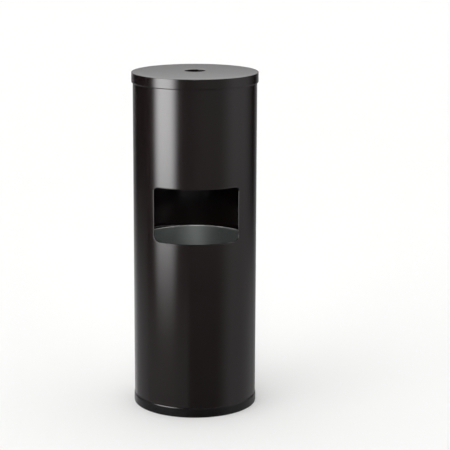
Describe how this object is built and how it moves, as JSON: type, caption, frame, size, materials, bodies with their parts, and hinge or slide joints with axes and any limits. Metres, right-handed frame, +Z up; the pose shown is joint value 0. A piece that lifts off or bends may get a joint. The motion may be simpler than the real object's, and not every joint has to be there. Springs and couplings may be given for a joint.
{
  "type": "ashtray bin",
  "caption": "Free-standing round steel ashtray bin with a loose lid over a hanging ash drum, a front waste opening and a galvanised liner.",
  "frame": {"origin": "on the floor, in the middle of the foot ring's underside", "axes": "+Z up along the bin's axis; the waste opening faces -Y; +X to the right seen from the front"},
  "size_m": [0.34, 0.34, 0.9144],
  "materials": {
    "black_paint": "satin black powder coat on sheet steel",
    "black_plastic": "moulded black plastic trim, satin",
    "galvanised_sheet": "hot-dip galvanised sheet steel, dull grey",
    "zinc_plate": "zinc-plated wire and small pressings"
  },
  "bodies": {
    "root": {"body_shell": "black_paint", "base_ring": "black_plastic", "base_plate": "black_paint"},
    "liner": {"liner_wall": "galvanised_sheet", "liner_bottom": "galvanised_sheet", "liner_rim_wire": "zinc_plate", "liner_ear_left": "zinc_plate", "liner_ear_right": "zinc_plate", "liner_rivets": "zinc_plate"},
    "liner_bail": {"liner_bail": "zinc_plate"},
    "ash_drum": {"ash_drum_wall": "galvanised_sheet", "ash_drum_bottom": "galvanised_sheet", "ash_drum_strap_left": "zinc_plate", "ash_drum_strap_right": "zinc_plate", "ash_drum_rivets": "zinc_plate"},
    "ash_drum_handle_left": {"ash_drum_handle_left": "zinc_plate"},
    "ash_drum_handle_right": {"ash_drum_handle_right": "zinc_plate"},
    "lid": {"lid": "black_paint"}
  },
  "joints": [
    {"name": "liner_lift", "type": "slide", "parent": "root", "child": "liner", "axis": [0, 0, 1], "range_m": [0, 0.92]},
    {"name": "bail_swing", "type": "hinge", "parent": "liner", "child": "liner_bail", "pos_m": [0, 0, 0.4395], "axis": [0.5736, 0.8192, 0], "range_deg": [0, 162]},
    {"name": "ash_drum_lift", "type": "slide", "parent": "liner", "child": "ash_drum", "axis": [0, 0, 1], "range_m": [0, 0.31]},
    {"name": "left_handle_swing", "type": "hinge", "parent": "ash_drum", "child": "ash_drum_handle_left", "pos_m": [-0.15422, 0, 0.8655], "axis": [0, -1, 0], "range_deg": [0, 170]},
    {"name": "right_handle_swing", "type": "hinge", "parent": "ash_drum", "child": "ash_drum_handle_right", "pos_m": [0.15422, 0, 0.8655], "axis": [0, 1, 0], "range_deg": [0, 170]},
    {"name": "lid_lift", "type": "slide", "parent": "ash_drum", "child": "lid", "axis": [0, 0, 1], "range_m": [0, 0.12]}
  ]
}
